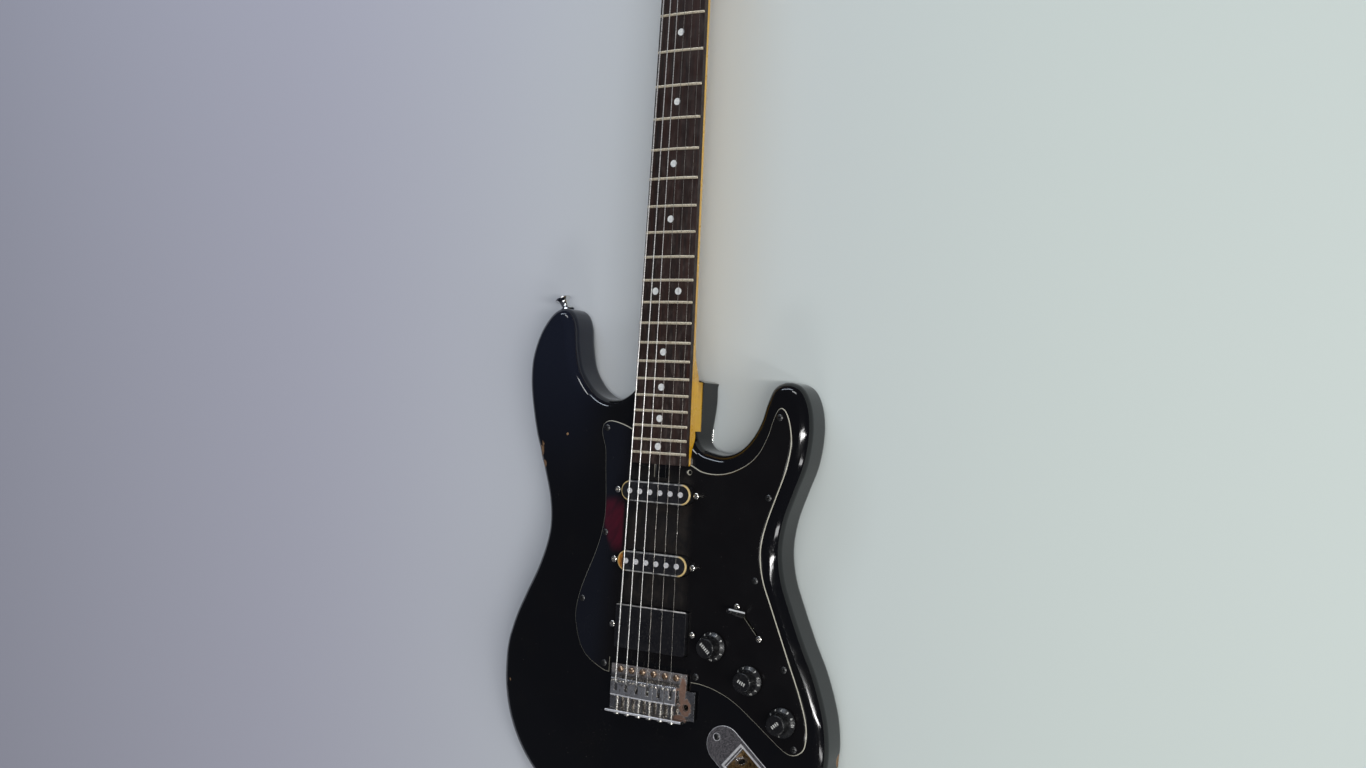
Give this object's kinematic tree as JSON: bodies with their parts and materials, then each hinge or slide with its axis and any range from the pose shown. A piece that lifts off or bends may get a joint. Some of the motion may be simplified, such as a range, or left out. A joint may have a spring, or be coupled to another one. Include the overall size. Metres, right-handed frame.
{
  "type": "solid-body electric guitar",
  "caption": "Worn black solid-body electric guitar lying on its back, with two horns, a tremolo bridge with its arm missing, and a bolt-on maple neck.",
  "frame": {"origin": "centre line under the saddle line, on the plane of the back plates that the guitar rests on", "axes": "+X towards the treble side, +Y up the neck towards the headstock, +Z out of the face"},
  "size_m": [0.331, 1.0013, 0.0667],
  "materials": {
    "lacquered_wood": "gloss black lacquer",
    "guard_plastic": "black sheet, satin",
    "screw_steel": "tarnished",
    "maple": "amber lacquer",
    "rosewood": "oiled, dusty",
    "fret_metal": "dull",
    "pearl_plastic": "pearly",
    "nut_plastic": "bone-like",
    "plain_steel": "plain",
    "dull_chrome": "dull",
    "worn_chrome": "tarnished and rusted",
    "brassy_steel": "worn to yellow metal",
    "cover_plastic": "worn",
    "copper_windings": "lacquered wire",
    "sleeve_rubber": "matt",
    "knob_plastic": "black",
    "capacitor_plastic": "dipped",
    "wire_plastic": "cloth or plastic cover",
    "brass": "plain",
    "string_steel": "dull"
  },
  "bodies": {
    "guitar": {"body": "lacquered_wood", "pickguard": "guard_plastic", "back_cover": "guard_plastic", "small_wood_screws": "screw_steel", "neck": "maple", "fingerboard": "rosewood", "frets": "fret_metal", "position_dots": "pearl_plastic", "nut": "nut_plastic", "truss_rod": "plain_steel", "neck_plate": "dull_chrome", "large_wood_screws": "screw_steel", "strap_buttons": "dull_chrome", "string_trees": "dull_chrome", "single_coil_covers": "cover_plastic", "single_coil_windings": "copper_windings", "pole_magnets": "plain_steel", "bridge_pickup_cover": "cover_plastic", "bridge_pickup_coils": "copper_windings", "machine_screws": "screw_steel", "height_sleeves": "sleeve_rubber", "selector_switch": "plain_steel", "control_pots": "plain_steel", "tone_capacitor": "capacitor_plastic", "hookup_wires": "wire_plastic", "jack_plate": "worn_chrome", "jack_socket": "worn_chrome", "spring_claw": "plain_steel", "claw_screws": "screw_steel", "tremolo_springs": "plain_steel", "tuner_housings": "dull_chrome", "tuner_bushings": "dull_chrome", "strings": "string_steel", "pivot_screws": "brassy_steel"},
    "tremolo": {"bridge_plate": "worn_chrome", "tremolo_block": "plain_steel", "saddles": "worn_chrome", "bridge_screws": "screw_steel", "intonation_springs": "plain_steel"},
    "selector": {"switch_lever": "plain_steel", "switch_tip": "knob_plastic"},
    "volume_control": {"volume_shaft": "brass", "volume_knob": "knob_plastic"},
    "neck_tone_control": {"neck_tone_shaft": "brass", "neck_tone_knob": "knob_plastic"},
    "middle_tone_control": {"middle_tone_shaft": "brass", "middle_tone_knob": "knob_plastic"},
    "key_1": {"tuner_key_1": "dull_chrome"},
    "key_2": {"tuner_key_2": "dull_chrome"},
    "key_3": {"tuner_key_3": "dull_chrome"},
    "key_4": {"tuner_key_4": "dull_chrome"},
    "key_5": {"tuner_key_5": "dull_chrome"},
    "key_6": {"tuner_key_6": "dull_chrome"},
    "post_1": {"tuner_post_1": "dull_chrome"},
    "post_2": {"tuner_post_2": "dull_chrome"},
    "post_3": {"tuner_post_3": "dull_chrome"},
    "post_4": {"tuner_post_4": "dull_chrome"},
    "post_5": {"tuner_post_5": "dull_chrome"},
    "post_6": {"tuner_post_6": "dull_chrome"}
  },
  "joints": [
    {"name": "tremolo_tilt", "type": "hinge", "parent": "guitar", "child": "tremolo", "pos_m": [0, 0.0015, 0.0485], "axis": [1, 0, 0], "range_deg": [-8, 2], "stiffness_Nm_per_rad": 25, "deforming": ["strings", "tremolo_springs"]},
    {"name": "selector_swing", "type": "hinge", "parent": "guitar", "child": "selector", "pos_m": [0.0926, 0.0565, 0.0203], "axis": [0.7431, 0.6691, 0], "range_deg": [0, 36]},
    {"name": "volume_turn", "type": "hinge", "parent": "guitar", "child": "volume_control", "pos_m": [0.06, 0.0326, 0.055], "axis": [0, 0, 1], "range_deg": [0, 270]},
    {"name": "neck_tone_turn", "type": "hinge", "parent": "guitar", "child": "neck_tone_control", "pos_m": [0.0958, 0.009, 0.055], "axis": [0, 0, 1], "range_deg": [0, 270]},
    {"name": "middle_tone_turn", "type": "hinge", "parent": "guitar", "child": "middle_tone_control", "pos_m": [0.1282, -0.0206, 0.055], "axis": [0, 0, 1], "range_deg": [0, 270]},
    {"name": "key_1_turn", "type": "hinge", "parent": "guitar", "child": "key_1", "pos_m": [-0.0224, 0.68477, 0.0264], "axis": [-0.9681, 0.2504, 0], "continuous": true},
    {"name": "key_2_turn", "type": "hinge", "parent": "guitar", "child": "key_2", "pos_m": [-0.01521, 0.70975, 0.0264], "axis": [-0.9681, 0.2504, 0], "continuous": true},
    {"name": "key_3_turn", "type": "hinge", "parent": "guitar", "child": "key_3", "pos_m": [-0.00831, 0.73473, 0.0264], "axis": [-0.9681, 0.2504, 0], "continuous": true},
    {"name": "key_4_turn", "type": "hinge", "parent": "guitar", "child": "key_4", "pos_m": [-0.00172, 0.75971, 0.0264], "axis": [-0.9681, 0.2504, 0], "continuous": true},
    {"name": "key_5_turn", "type": "hinge", "parent": "guitar", "child": "key_5", "pos_m": [0.0045, 0.78468, 0.0264], "axis": [-0.9681, 0.2504, 0], "continuous": true},
    {"name": "key_6_turn", "type": "hinge", "parent": "guitar", "child": "key_6", "pos_m": [0.01041, 0.80966, 0.0264], "axis": [-0.9681, 0.2504, 0], "continuous": true},
    {"name": "post_1_turn", "type": "hinge", "parent": "guitar", "child": "post_1", "pos_m": [-0.02105, 0.69, 0.04], "axis": [0, 0, 1], "continuous": true},
    {"name": "post_2_turn", "type": "hinge", "parent": "guitar", "child": "post_2", "pos_m": [-0.01385, 0.71498, 0.04], "axis": [0, 0, 1], "continuous": true},
    {"name": "post_3_turn", "type": "hinge", "parent": "guitar", "child": "post_3", "pos_m": [-0.00696, 0.73996, 0.04], "axis": [0, 0, 1], "continuous": true},
    {"name": "post_4_turn", "type": "hinge", "parent": "guitar", "child": "post_4", "pos_m": [-0.00037, 0.76494, 0.04], "axis": [0, 0, 1], "continuous": true},
    {"name": "post_5_turn", "type": "hinge", "parent": "guitar", "child": "post_5", "pos_m": [0.00585, 0.78991, 0.04], "axis": [0, 0, 1], "continuous": true},
    {"name": "post_6_turn", "type": "hinge", "parent": "guitar", "child": "post_6", "pos_m": [0.01176, 0.81489, 0.04], "axis": [0, 0, 1], "continuous": true}
  ],
  "couplings": [
    {"joint": "post_1_turn", "follows": "key_1_turn", "ratio": 0.071429},
    {"joint": "post_2_turn", "follows": "key_2_turn", "ratio": 0.071429},
    {"joint": "post_3_turn", "follows": "key_3_turn", "ratio": 0.071429},
    {"joint": "post_4_turn", "follows": "key_4_turn", "ratio": 0.071429},
    {"joint": "post_5_turn", "follows": "key_5_turn", "ratio": 0.071429},
    {"joint": "post_6_turn", "follows": "key_6_turn", "ratio": 0.071429}
  ]
}
